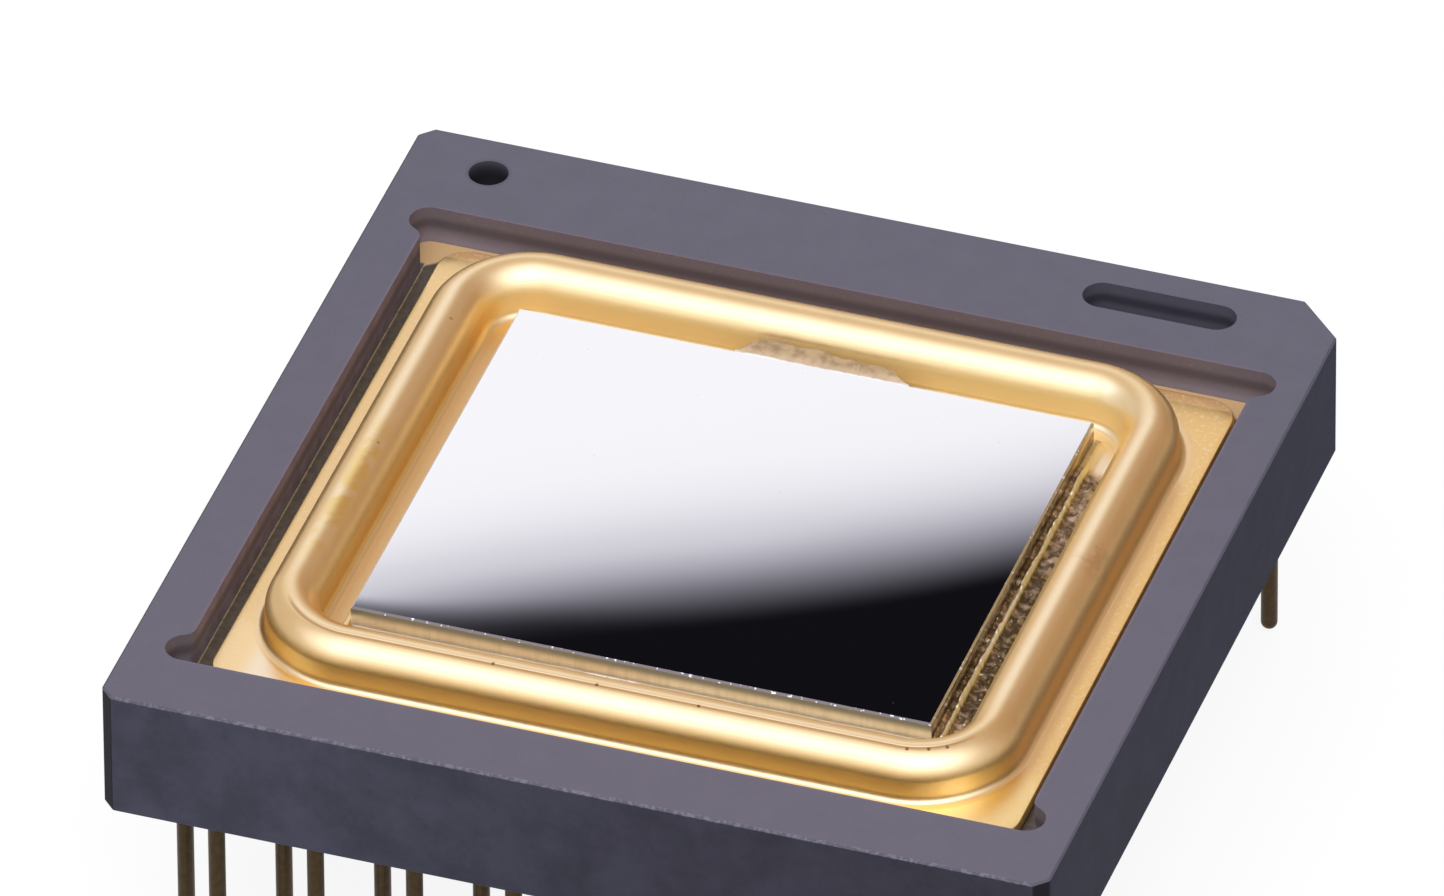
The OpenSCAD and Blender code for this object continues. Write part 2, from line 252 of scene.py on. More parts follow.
# What shiny surfaces see of the studio: the dimmer it is, the warmer
SKY_COLOURS = [
    (0.0, (1.3, 0.88, 0.74)),
    (0.2, (1.25, 0.88, 0.75)),
    (0.3, (1.12, 0.93, 0.93)),
    (0.38, (1.03, 0.98, 1.12)),
    (0.5, (1.0, 1.0, 1.32)),
    (0.7, (1.0, 1.0, 1.38)),
    (1.0, (1.0, 1.0, 1.38)),
]
SKY_FULL = 2.0

# The overhead light leans to the front and is stretched along x
LIGHT_WAY, LIGHT_STRETCH = (0.12, -0.58, 0.8), (0.605, 1, 1)
PANEL_WAY = (-0.4, 0.77, 0.5)
AMBIENT, LIGHT_WIDE, LIGHT_CORE, PANEL = 0.65, 1.05, 0.8, 0.4
DIM_BACK_RIGHT, DIM_BEHIND = -0.38, -0.28
# Cosines at which each of them sets in and is full
WIDE_COSINES, CORE_COSINES, PANEL_COSINES = (0.6, 1.0), (0.86, 1.0), (0.86, 1.02)

FLOOR_HALF = 2000.0
FLOOR_COLOURS = (0.11, 0.11, 0.115), (0.13, 0.13, 0.135)
FLOOR_GLOW = 0.9


def make_world():
    """A broad light overhead that leans to the front, a pale panel behind on the left, and a dim back right."""
    world = bpy.data.worlds.new("studio")
    bpy.context.scene.world = world
    sky = Shader(world)
    direction = sky.add("ShaderNodeTexCoord").outputs["Generated"]
    x, y, z = sky.axes(direction)

    def towards(way, vector, low, high):
        """How nearly a vector points a way, from 0 at the cosine low to 1 at the cosine high."""
        return sky.smooth(sky.vector("DOT_PRODUCT", vector, Vector(way).normalized()), low, high)

    stretched = sky.vector("NORMALIZE", sky.vector("MULTIPLY", direction, LIGHT_STRETCH))
    light = sky.maths("MULTIPLY_ADD", towards(LIGHT_WAY, stretched, *WIDE_COSINES), LIGHT_WIDE, AMBIENT)
    light = sky.maths("MULTIPLY_ADD", towards(LIGHT_WAY, stretched, *CORE_COSINES), LIGHT_CORE, light)
    light = sky.maths("MULTIPLY_ADD", towards(PANEL_WAY, direction, *PANEL_COSINES), PANEL, light)
    back_right = sky.times(sky.smooth(x, -0.1, 0.17), sky.smooth(y, 0.1, 0.5), sky.smooth(z, 0.95, 0.75))
    behind = sky.times(sky.smooth(y, 0.5, 0.9), sky.smooth(z, 0.45, 0.0))
    for share, change in ((back_right, DIM_BACK_RIGHT), (behind, DIM_BEHIND)):
        light = sky.times(light, sky.maths("MULTIPLY_ADD", share, change, 1.0))

    # Matte surfaces get less of it from near the horizon and from the sides
    rising = sky.smooth(z, 0.3, 0.95, 0.1, 1.4)
    ahead = sky.smooth(sky.magnitude(x), 0.1, 0.8, 1.0, 0.5)
    soft = sky.times(rising, ahead, light)
    rays = sky.add("ShaderNodeLightPath").outputs
    strength = sky.add("ShaderNodeMix", {"Factor": rays["Is Diffuse Ray"], "A": light, "B": soft}).outputs[0]
    strength = sky.largest(strength, rays["Is Camera Ray"])
    tint = sky.ramp(sky.maths("DIVIDE", light, SKY_FULL), SKY_COLOURS)
    colour = sky.mix(rays["Is Glossy Ray"], (1.0, 1.0, 1.0), tint)
    back = sky.add("ShaderNodeBackground", {"Color": colour, "Strength": strength}).outputs[0]
    sky.end(back, "ShaderNodeOutputWorld")


def rectangle(name, half_x, half_y, made):
    """A level rectangle round its own origin."""
    mesh = bpy.data.meshes.new(name)
    corners = [(-half_x, -half_y), (half_x, -half_y), (half_x, half_y), (-half_x, half_y)]
    mesh.from_pydata([(x * MM, y * MM, 0) for x, y in corners], [], [(0, 1, 2, 3)])
    mesh.materials.append(made)
    return add_object(name, mesh)


def make_floor():
    """Grey paper that shows the object's shadow, and glows nearly white to the camera and in reflections."""
    made, look = material("floor")
    paper = look.mix(look.noise(0.02), *FLOOR_COLOURS)
    matte = look.add("ShaderNodeBsdfDiffuse", {"Color": paper}).outputs[0]
    rays = look.add("ShaderNodeLightPath").outputs
    seen = look.maths("ADD", rays["Is Camera Ray"], rays["Is Glossy Ray"])
    seen = look.maths("ADD", seen, rays["Is Transmission Ray"], clamp=True)
    glow = look.add("ShaderNodeEmission", {"Color": (1, 1, 1), "Strength": look.times(seen, FLOOR_GLOW)})
    paper = look.add("ShaderNodeAddShader", {0: matte, 1: glow.outputs[0]}).outputs[0]
    # A camera below the floor sees through it
    below = look.times(look.add("ShaderNodeNewGeometry").outputs["Backfacing"], rays["Is Camera Ray"])
    clear = look.add("ShaderNodeBsdfTransparent").outputs[0]
    look.end(look.blend(below, paper, clear))
    floor = rectangle("floor", FLOOR_HALF, FLOOR_HALF, made)


# Sizes of the part that the new pieces share, in millimetres


def box(node):
    """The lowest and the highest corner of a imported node's box."""
    return [Vector(corner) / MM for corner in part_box(node)]


BODY_LOW, BODY_HIGH = box("ceramic_package")
WINDOW_LOW, WINDOW_HIGH = box("infrared_window")
WINDOW_HALF = [(WINDOW_HIGH[i] - WINDOW_LOW[i]) / 2 for i in (0, 1)]
CENTRE = [(WINDOW_HIGH[i] + WINDOW_LOW[i]) / 2 for i in (0, 1)]

# The lid's sheet and bead, the bends at the bead's foot, and the outlines of crest, edge and opening
SHEET = 0.25
LID_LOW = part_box("lid_frame")[0].z / MM
LEDGE = LID_LOW + SHEET
BEAD_R, BEAD_H, BEAD_PEAK = 0.68, 1.27, 1.12
BEAD_AXIS = LEDGE + BEAD_H - BEAD_R
OUTER_FOOT_R, INNER_FOOT_R = 0.2, 0.25
CREST_HALF, CREST_R = (8.94, 7.84), 1.92
LID_HALF, LID_R, LID_SHIFT = (10.31, 9.09), 0.8, 0.04
LID_LEFT, LID_RIGHT = (CENTRE[0] + LID_SHIFT + side * LID_HALF[0] for side in (-1, 1))
LID_BACK = CENTRE[1] + LID_HALF[1]
LID_LIP = 0.05
APERTURE_HALF, APERTURE_R = (6.52, 5.42), 0.3
OUTER_FOOT_STEPS, ARCH_STEPS, INNER_FOOT_STEPS, LIP_STEPS = 10, 44, 8, 4

# The solder's fillet round the window, which reaches further in front and on the right
FILLET_HEIGHT, FILLET_REACH, FILLET_REACH_MORE, FILLET_HOLLOW = 0.2, 0.2, 0.17, 1.6
# On the right it has a bank with a ridge on it, and beyond that a granular run, up to RUN_BACK
BANK_HEIGHT, BANK_WIDTH = 0.05, 0.25
RIDGE_HEIGHT, RIDGE_WIDTH, RIDGE_PLACE = 0.09, 0.04, 0.16
RUN_HEIGHT, RUN_WIDTH, RUN_BACK = 0.05, 0.6, WINDOW_HIGH.y - 0.8
# How wide the solder's mesh is round the window, and how much wider in front and on the right
SOLDER_WIDTH, WIDER_FRONT, WIDER_RIGHT = 0.3, 0.1, 0.33
SOLDER_CORNER_R, SOLDER_CORNER_STEPS, SOLDER_SIDE_STEPS, SOLDER_RINGS = 0.02, 3, 280, 18
SOLDER_TUCK, SEAT_TUCK, SOLDER_LEAST = 0.01, 0.06, 0.002

# The smear over the window's back edge: its ends, how far it reaches back, its thickness, and how it leans
SMEAR_LEFT, SMEAR_RIGHT = -1.8, 2.7
SMEAR_REACH_LEAST, SMEAR_REACH = 0.04, 0.58
SMEAR_HALF_THICK, SMEAR_DROP, SMEAR_LEAN = 0.115, 0.1, 0.25
SMEAR_STEPS, SMEAR_TURNS = 140, 28


def add_piece(name, points, faces, made, replaces=()):
    """A new piece of the object, from points in millimetres."""
    mesh = bpy.data.meshes.new(name)
    mesh.from_pydata([tuple(MM * c for c in p) for p in points], [], faces)
    mesh.validate()
    mesh.polygons.foreach_set("use_smooth", [True] * len(mesh.polygons))
    mesh.materials.append(made)
    piece = add_object(name, mesh)
    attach(piece, "root")
    if replaces:
        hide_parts(*replaces)


def bands(rings, count, closed):
    """The faces between rings of points, and where closed also those from the last ring to the first."""
    faces = []
    for k in range(rings if closed else rings - 1):
        after = (k + 1) % rings
        for i in range(count):
            j = (i + 1) % count
            faces.append((k * count + i, after * count + i, after * count + j, k * count + j))
    return faces


def loft(name, rings, made, replaces=()):
    """A closed piece through rings of points, the last of which joins the first."""
    points = [p for ring in rings for p in ring]
    add_piece(name, points, bands(len(rings), len(rings[0]), closed=True), made, replaces=replaces)


def outline(half, radius, corner_steps=28, side_steps=40):
    """Points and outward directions round a rounded rectangle, the same number for any size."""
    corners = []
    for quarter, signs in enumerate(((1, -1), (1, 1), (-1, 1), (-1, -1))):
        angles = [math.pi / 2 * (quarter - 1 + i / corner_steps) for i in range(corner_steps + 1)]
        ways = np.array([(math.cos(a), math.sin(a)) for a in angles])
        corners.append((np.multiply(signs, np.subtract(half, radius)) + radius * ways, ways))
    points, outward = [], []
    for (here, ways), (after, _) in zip(corners, corners[1:] + corners[:1]):
        points += list(here)
        outward += list(ways)
        for i in range(1, side_steps):
            points.append(here[-1] + (after[0] - here[-1]) * i / side_steps)
            outward.append(ways[-1])
    return np.array(points), np.array(outward)


def level_ring(plan, height):
    """Points at one height, from a plan round the window's centre."""
    return [(CENTRE[0] + x, CENTRE[1] + y, height) for x, y in plan]


def arc(centre, radius, first, last, steps):
    """Points of an arc in a section, as (outward, up), from one angle to another in degrees."""
    angles = [math.radians(first + (last - first) * i / steps) for i in range(steps + 1)]
    return [(centre[0] + radius * math.cos(a), centre[1] + radius * math.sin(a)) for a in angles]


def bead_section(drop):
    """The bead from its outer foot over the top to its inner foot, drop below the sheet's upper face."""
    outer_foot = (BEAD_R + OUTER_FOOT_R, LEDGE + OUTER_FOOT_R)
    inner_foot = (-BEAD_R - INNER_FOOT_R, LEDGE + INNER_FOOT_R)
    line = arc(outer_foot, OUTER_FOOT_R + drop, -90, -180, OUTER_FOOT_STEPS)
    for u, z in arc((0, 0), 1, 0, 180, ARCH_STEPS):
        out, rise = (abs(c) ** BEAD_PEAK * (BEAD_R - drop) for c in (u, z))
        line.append((math.copysign(out, u), BEAD_AXIS + rise))
    return line + arc(inner_foot, INNER_FOOT_R + drop, 0, -90, INNER_FOOT_STEPS)


def make_lid(made):
    """The gold lid, one sheet: flange, bead and ledge, and back under them from the opening."""
    crest, outward = outline(CREST_HALF, CREST_R)
    edge, edge_out = outline(LID_HALF, LID_R)
    edge += (LID_SHIFT, 0)
    hole, _ = outline(APERTURE_HALF, APERTURE_R)
    brim = edge - edge_out * LID_LIP
    rings = [level_ring(brim, LID_LOW)]
    lower_lip = arc((-LID_LIP, LID_LOW + LID_LIP), LID_LIP, -90, 0, LIP_STEPS)
    upper_lip = arc((-LID_LIP, LEDGE - LID_LIP), LID_LIP, 0, 90, LIP_STEPS)
    rings += [level_ring(edge + edge_out * u, z) for u, z in lower_lip + upper_lip]
    over, under = bead_section(0.0), bead_section(SHEET)
    foot = crest + outward * over[0][0]
    rings += [level_ring(brim * (1 - share) + foot * share, LEDGE) for share in (0.25, 0.5, 0.75)]
    rings += [level_ring(crest + outward * u, z) for u, z in over]
    inner = crest + outward * over[-1][0]
    rings += [level_ring(inner * (1 - share) + hole * share, LEDGE) for share in (0.3, 0.6, 1.0)]
    rings.append(level_ring(hole, LID_LOW))
    rings += [level_ring(crest + outward * u, z) for u, z in reversed(under)]
    loft("lid_sheet", rings, made, replaces=("lid_frame",))


def rough(x, y, size, seed=0.0):
    """Noise from about -1 to 1, with features of a size in millimetres."""
    return noise.noise(Vector((x / size, y / size, seed)))


def fade(value, low, high):
    """Goes smoothly from 0 to 1 as the value goes from low to high."""
    share = min(max((value - low) / (high - low), 0.0), 1.0)
    return share * share * (3 - 2 * share)


def facing(way):
    """How far an outward direction points to the front, and how far to the right, each from 0 to 1."""
    return fade(-way[1], 0.7, 0.95), fade(way[0], 0.7, 0.95)


def solder_width(way):
    """How far the solder's mesh reaches out from the window's side."""
    front, right = facing(way)
    return SOLDER_WIDTH + WIDER_FRONT * front + WIDER_RIGHT * right


def solder_height(x, y, way, u):
    """Height of the solder over the ledge, at a place u outside the window's side."""
    front, right = facing(way)
    reach = FILLET_REACH + FILLET_REACH_MORE * max(front, right) + 0.04 * rough(x, y, 0.7, 3.0)
    height = FILLET_HEIGHT + 0.04 * front + 0.02 * rough(x, y, 0.8, 11.0)
    fillet = height * max(1 - u / reach, 0.0) ** FILLET_HOLLOW
    off_ridge = u - RIDGE_PLACE - 0.035 * rough(x, y, 0.9, 9.0)
    bank = BANK_HEIGHT + RIDGE_HEIGHT * math.exp(-((off_ridge / RIDGE_WIDTH) ** 2))
    bank *= fade(BANK_WIDTH - u, 0.0, 0.05)
    grains = RUN_HEIGHT + 0.05 * rough(x, y, 0.16) + 0.03 * rough(x, y, 0.07, 5.0)
    run = grains * fade(RUN_WIDTH + 0.04 * rough(x, y, 0.3, 7.0) - u, 0.0, 0.08)
    along = fade(y, WINDOW_LOW.y - 0.1, WINDOW_LOW.y + 0.3) * fade(-y, -RUN_BACK, 0.7 - RUN_BACK)
    return fillet + right * along * (bank + run)


def make_solder(made):
    """The solder round the window: a small fillet, wider in front, and an uneven run on the right."""
    plan, outward = outline(WINDOW_HALF, SOLDER_CORNER_R, SOLDER_CORNER_STEPS, SOLDER_SIDE_STEPS)
    hole, _ = outline(APERTURE_HALF, SOLDER_CORNER_R, SOLDER_CORNER_STEPS, SOLDER_SIDE_STEPS)
    seat = WINDOW_LOW.z
    rings = [level_ring(hole, LEDGE), level_ring(hole, seat), level_ring(plan - outward * SEAT_TUCK, seat)]
    for k in range(SOLDER_RINGS + 1):
        ring = []
        for (px, py), way in zip(plan, outward):
            u = solder_width(way) * k / SOLDER_RINGS
            x, y = CENTRE[0] + px + way[0] * (u - SOLDER_TUCK), CENTRE[1] + py + way[1] * (u - SOLDER_TUCK)
            ring.append((x, y, LEDGE + max(solder_height(x, y, way, u), SOLDER_LEAST)))
        rings.append(ring)
    edge = [p + way * (solder_width(way) - SOLDER_TUCK) for p, way in zip(plan, outward)]
    rings.append(level_ring(edge, LEDGE))
    loft("solder_ring", rings, made, replaces=("window_solder",))


def smear_swell(x):
    """The smear's breadth, from 0 at its ends to about 1, and less to the right."""
    swell = fade(x, SMEAR_LEFT, SMEAR_LEFT + 0.5) * fade(-x, -SMEAR_RIGHT, -SMEAR_RIGHT + 0.6)
    swell *= 1 - 0.35 * fade(x, -1.0, 2.4)
    return swell * (1 + 0.14 * rough(x, 0, 0.55) + 0.08 * rough(x, 0, 0.2, 3.0))


def smear_overlap(x, swell):
    """How far the smear reaches onto the window, furthest left of its middle."""
    tongue = 0.1 * fade(-x, 0.3, 0.9) * fade(x, -1.7, -1.2)
    return (0.04 + tongue + 0.05 * rough(x, 0, 0.35, 8.0)) * min(2 * swell, 1)


def make_smear(made):
    """A tongue of solder over the window's back edge, with an uneven outline."""
    points = []
    for i in range(SMEAR_STEPS + 1):
        x = SMEAR_LEFT + (SMEAR_RIGHT - SMEAR_LEFT) * i / SMEAR_STEPS
        swell = smear_swell(x)
        near = WINDOW_HIGH.y - smear_overlap(x, swell)
        far = WINDOW_HIGH.y + SMEAR_REACH_LEAST + SMEAR_REACH * swell
        for k in range(SMEAR_TURNS):
            a = 2 * math.pi * k / SMEAR_TURNS
            y = (near + far) / 2 + (far - near) / 2 * math.cos(a)
            lump = 0.035 * rough(x, y, 0.22, 2.0) + 0.02 * rough(x, y, 0.09, 6.0)
            middle = WINDOW_HIGH.z - SMEAR_DROP + SMEAR_LEAN * max(y - WINDOW_HIGH.y, 0.0)
            points.append((x, y, middle + (SMEAR_HALF_THICK + lump) * math.sin(a)))
    faces = bands(SMEAR_STEPS + 1, SMEAR_TURNS, closed=False)
    faces.append(tuple(range(SMEAR_TURNS)))
    faces.append(tuple(SMEAR_STEPS * SMEAR_TURNS + k for k in reversed(range(SMEAR_TURNS))))
    add_piece("solder_smear", points, faces, made)


# Materials

GOLD = (0.93, 0.71, 0.34)
FIRED_GOLD = (0.92, 0.61, 0.31)


def plating():
    """Satin gold of the metallised parts."""
    made, look = material("gold")
    satin = look.smooth(look.noise(14.0), 0.3, 0.75, 0.3, 0.37)
    look.end(look.surface(base_color=GOLD, metallic=1.0, roughness=satin))
    return made


# Painted shade: the dark colours of the seal ring's strips beside the lid
PAINTED_SHADE_STRIP_COLOURS = (0.075, 0.06, 0.045), (0.12, 0.095, 0.07)


def seal_gold():
    """Gold of the seal ring. Its strips beside the lid are painted dark and not metallic, as painted shade standing in
    for the dark walls they would mirror, but for a thin bright edge.
    """
    made, look = material("gold_seal")
    x, y, _ = look.axes(look.millimetres())
    left, right = look.smooth(x, LID_LEFT + 0.5, LID_LEFT + 0.3), look.smooth(x, LID_RIGHT - 0.5, LID_RIGHT - 0.3)
    # The strips end at the back in a slant away from the lid's corner
    reach = look.minus(look.magnitude(look.minus(x, CENTRE[0])), LID_RIGHT - CENTRE[0])
    corner = look.minus(look.minus(y, LID_BACK - 0.35), look.times(reach, -0.8))
    strip = look.times(look.largest(left, right), look.smooth(corner, 0.1, -0.05))
    speck = look.noise(6.0)
    low, high = box("seal_ring")
    edge = look.maths("MINIMUM", look.minus(x, low.x), look.minus(high.x, x))
    bright = look.times(look.smooth(edge, 0.05, 0.02), look.smooth(speck, 0.35, 0.55, 0.25, 1.0))
    # The strips' dark colour is painted shade, standing in for the dark walls they would mirror
    dull_painted_light_and_shade = look.grade(speck, 0.3, 0.7, *PAINTED_SHADE_STRIP_COLOURS)
    colour = look.mix(strip, FIRED_GOLD, look.mix(bright, dull_painted_light_and_shade, GOLD))
    metal = look.mix(strip, (0.35,) * 3, look.mix(bright, (0.0,) * 3, (1.0,) * 3))
    look.end(look.surface(base_color=colour, metallic=metal, roughness=0.42, normal=look.bump(speck, 0.004)))
    return made


# Colours of the lid, deepest where it faces its own walls, as painted reflection of the gold. Many are painted light
# and shade: lit and shaded copies by side; painted shade at the bead's foot, along the bead, at the back edge and in
# the pits; and painted highlights and glints on crests, slopes, ledge, corners and flange
LID = {
    "back edge": (0.8, 0.47, 0.22),
    "inner wall": (0.93, 0.7, 0.3),
    "inner wall left": (0.79, 0.59, 0.27),
    "inner wall back": (0.95, 0.77, 0.34),
    "inner slope right": (1.0, 0.87, 0.5),
    "outer wall": (0.97, 0.68, 0.24),
    "outer wall right": (1.0, 0.76, 0.33),
    "outer foot": (0.85, 0.5, 0.2),
    "outer foot right": (0.92, 0.62, 0.28),
    "painted_light_band": (1.0, 0.76, 0.34),
    "ledge left": (0.84, 0.57, 0.24),
    "ledge right": (1.0, 0.88, 0.6),
    "crown": (0.97, 0.78, 0.42),
    "flange left": (0.95, 0.68, 0.27),
    "flange right": (0.91, 0.61, 0.21),
    "flange front left": (0.99, 0.74, 0.33),
    "flange front right": (1.0, 0.74, 0.28),
    "flange corner": (1.0, 0.88, 0.58),
    "flange glint": (1.0, 0.8, 0.44),
    "flange by bead": (0.86, 0.6, 0.27),
    "rim": (0.3, 0.16, 0.07),
    "line": (0.58, 0.35, 0.13),
    "crest": (0.99, 0.82, 0.46),
    "stain": (0.9, 0.66, 0.2),
    "blotch": (0.62, 0.4, 0.2),
    "pit": (0.22, 0.1, 0.03),
    "glancing": (1.0, 0.88, 0.76),
}
GOLD_SHADE = 0.96
BLOTCH_PLACE = (9.35, 0.1, 8.75)
# Places of small pits in the lid's bead, x and y
PITS = [
    (-8.63, 4.26), (-8.68, -1.06), (-3.15, -8.54), (-0.5, -8.54),
    (2.1, -8.56), (7.4, -8.57), (7.9, -8.42), (8.3, -8.2),
]
PIT_R = 0.065


def lid_bead(look, colour, x, y, nz, across, foot):
    """Colours of the bead and the ledge, with painted light and shade: deeper on walls as painted reflection of the
    gold, painted highlights on the right inner slope and the crown, a ledge painted lighter to the right and darker to
    the left, and painted shade at the foot. Also gives the share of the ledge.
    """
    right, tilted = look.smooth(x, 8.0, 9.0), look.smooth(nz, 0.97, 0.85)
    # The walls' deeper colours are painted reflection of the gold walls they face
    inner_wall = look.grade(x, -6.0, -7.5, LID["inner wall"], LID["inner wall left"])
    inner_wall = look.grade(y, 4.5, 6.5, inner_wall, LID["inner wall back"])
    outer_wall = look.mix(right, LID["outer wall"], LID["outer wall right"])
    walls = look.grade(across, -0.1, 0.1, inner_wall, outer_wall)
    colour = look.over(colour, walls, look.smooth(nz, 0.62, 0.25))
    # Painted highlight on the inner slope of the right bead
    slope = look.times(look.smooth(x, 7.2, 7.6), look.smooth(across, -0.2, -0.4), tilted)
    colour = look.over(colour, LID["inner slope right"], slope, 0.9)
    # Painted shade in the crease at the bead's foot
    colour = look.over(colour, look.mix(right, LID["outer foot"], LID["outer foot right"]), foot, 0.7)
    # The ledge is painted lighter to the right and darker to the left: painted light and shade
    ledge = look.times(look.smooth(across, -BEAD_R, -BEAD_R - 0.1), look.smooth(nz, 0.9, 0.97))
    colour = look.over(colour, look.grade(x, -1.0, 1.0, LID["ledge left"], LID["ledge right"]), ledge, 0.8)
    # Painted highlight along the crown of the side beads
    crown = look.times(look.near(across, -0.05, 0.25, 0.42), look.near(y, 0.0, 5.5, 7.0))
    return look.over(colour, LID["crown"], crown), ledge


def lid_flange(look, colour, x, y, across, off_front, back):
    """Colours of the flange, with painted light and shade: lit and shaded copies by side, painted highlights at the
    front corners, painted glints, a dark line of painted shade along the bead and a dark rim of painted shade at the
    back.
    """
    flange, rightward = look.smooth(across, 0.9, 1.0), look.smooth(x, -1.0, 1.0)
    # The flange takes a colour for each side, lit and shaded copies of one gold: painted light and shade
    front = look.mix(rightward, LID["flange front left"], LID["flange front right"])
    brim = look.mix(off_front, front, look.mix(rightward, LID["flange left"], LID["flange right"]))
    # Painted highlight at the front corners
    corners = look.times(look.near(look.magnitude(x), 8.6, 0.4, 1.0), look.smooth(y, -6.5, -7.8))
    brim = look.over(brim, LID["flange corner"], corners, 0.85)
    colour = look.over(colour, brim, flange, look.smooth(back, 1.0, 0.0))
    # Painted glints: bright specks where light catches the plating's grain
    glints = look.smooth(look.noise(9.0, detail=2.0), 0.5, 0.7)
    colour = look.over(colour, LID["flange glint"], flange, glints, 0.5)
    # A dark line of painted shade along the bead's foot
    colour = look.over(colour, LID["flange by bead"], look.near(across, 0.95, 0.05, 0.3), off_front, 0.4)
    # A dark rim of painted shade at the back edge
    return look.over(colour, LID["rim"], look.smooth(y, LID_BACK - 0.07, LID_BACK - 0.03), 0.6)


def lid_marks(look, colour, x, y, across):
    """A yellow stain on the left of the bead, a tan blotch on its right, and small pits, drawn only as dark spots: the
    pits are real, their darkness is painted shade.
    """
    stain = look.times(look.near(across, -0.12, 0.1, 0.42), look.smooth(x, -7.8, -8.3),
                       look.near(y, -3.0, 1.6, 3.4), look.smooth(look.noise(1.3), 0.38, 0.52))
    colour = look.over(colour, LID["stain"], stain, 0.85)
    off_blotch = look.vector("DISTANCE", look.millimetres(), BLOTCH_PLACE)
    blotch = look.times(look.smooth(off_blotch, 0.9, 0.2), look.smooth(look.noise(2.5), 0.45, 0.62))
    colour = look.over(colour, LID["blotch"], blotch, 0.4)
    flat = look.vector("MULTIPLY", look.millimetres(), (1, 1, 0))
    # The pits are dark spots of colour, whose darkness is painted shade in their hollows
    pits = [look.smooth(look.vector("DISTANCE", flat, (*pit, 0)), PIT_R, PIT_R / 3) for pit in PITS]
    return look.over(colour, LID["pit"], look.largest(*pits), look.smooth(y, -5.0, -7.0, 0.4, 0.9))


def lid_gold():
    """Satin gold, rougher on steep walls and less metallic at the back edge, with a fine line along the front of the
    bead, and colours that carry painted light and shade.
    """
    made, look = material("gold_lid")
    x, y, _ = look.axes(look.millimetres())
    _, _, nz = look.axes(look.normal())
    across = look.across(CENTRE, CREST_HALF, CREST_R)
    back, off_front = look.smooth(y, LID_BACK - 0.5, LID_BACK - 0.3), look.smooth(y, -7.8, -6.5)
    foot = look.times(look.near(across, BEAD_R + 0.08, 0.08, 0.25), look.smooth(nz, 0.97, 0.85), off_front)

    colour = look.grade(look.noise(0.8, detail=3.0), 0.35, 0.7, GOLD, tuple(GOLD_SHADE * c for c in GOLD))
    # Painted reflection of the dark back wall along the lid's back edge
    colour = look.over(colour, LID["back edge"], back)
    colour, ledge = lid_bead(look, colour, x, y, nz, across, foot)
    colour = lid_flange(look, colour, x, y, across, off_front, back)
    front = look.smooth(y, -7.4, -8.0)
    line = look.times(front, look.near(across, 0.13, 0.015, 0.07))
    colour = look.over(colour, LID["line"], line, 0.75)
    # Painted highlight along the front of the crest
    colour = look.over(colour, LID["crest"], front, look.near(across, 0.02, 0.02, 0.1), 0.6)
    colour = lid_marks(look, colour, x, y, across)
    # A lighter, less metallic band low on the back bead's inner wall: painted light where its reflection would go dark
    painted_light_band = look.times(look.smooth(y, 5.8, 6.4), look.smooth(across, -0.5, -0.6), look.near(nz, 0.12, 0.1, 0.25))
    colour = look.over(colour, LID["painted_light_band"], painted_light_band)

    matte = look.largest(look.smooth(nz, 0.8, 0.35), foot, ledge)
    satin = look.smooth(look.noise(14.0, detail=2.0), 0.3, 0.75, 0.28, 0.35)
    # Less metallic where light and shade are painted: the back edge, the band of painted light and the foot
    dull_painted_light_and_shade = look.largest(back, painted_light_band, look.times(foot, 0.35))
    normal = look.bump(look.minus(1.0, line), 0.012)
    normal = look.bump(look.noise(4.0, detail=3.0), 0.0025, normal=normal)
    look.end(look.surface(
        base_color=colour,
        metallic=look.smooth(dull_painted_light_and_shade, 0.0, 1.0, 1.0, 0.35),
        roughness=look.maths("MULTIPLY_ADD", matte, 0.13, satin),
        specular_tint=LID["glancing"],
        normal=normal,
    ))
    return made


# Colours of the ceramic. The hole's near black is painted shade inside it, the recess edge's pink a painted highlight,
# the back and left edge painted shade, and the front edge a painted highlight
CERAMIC = {
    "dark": (0.133, 0.124, 0.166),
    "light": (0.142, 0.132, 0.176),
    "grain": (0.152, 0.141, 0.187),
    "hole": (0.012, 0.012, 0.014),
    "recess edge": (0.22, 0.165, 0.21),
    "back and left edge": (0.03, 0.03, 0.028),
    "front edge highlight": (0.33, 0.33, 0.42),
}
# What that colour is multiplied by on each face. The top is a little lighter in front. On the outer sides it is
# painted shade: bluer, and darker on the front and right sides, darkest on the right side and nearly black on the cut
# corners in front. On the recess walls it is painted light, lighter and browner, with darker joints and random blots
CERAMIC_TINT = {
    "top front": (1.06, 1.03, 1.02),
    "top back": (0.97, 0.98, 0.98),
    "front side left": (0.74, 0.82, 0.9),
    "front side right": (0.49, 0.53, 0.57),
    "right side front": (0.32, 0.365, 0.44),
    "right side back": (0.39, 0.445, 0.52),
    "left side": (0.85, 0.92, 1.0),
    "back side": (1.05, 1.1, 1.15),
    "cut corner": (0.06, 0.065, 0.066),
    "wall upper": (1.4, 1.3, 1.15),
    "wall lower": (2.1, 2.1, 2.05),
    "wall fleck": (2.2, 2.1, 1.5),
    "wall joint": (0.5, 0.45, 0.42),
    "left wall upper": (1.75, 1.5, 1.3),
    "left wall lower": (1.1, 1.0, 0.88),
    "left wall upper blot": (1.4, 1.25, 1.1),
    "left wall lower blot": (1.5, 1.4, 1.25),
    "hole wall": (1.0, 1.0, 1.0),
    "hole wall joint": (0.3, 0.3, 0.3),
}
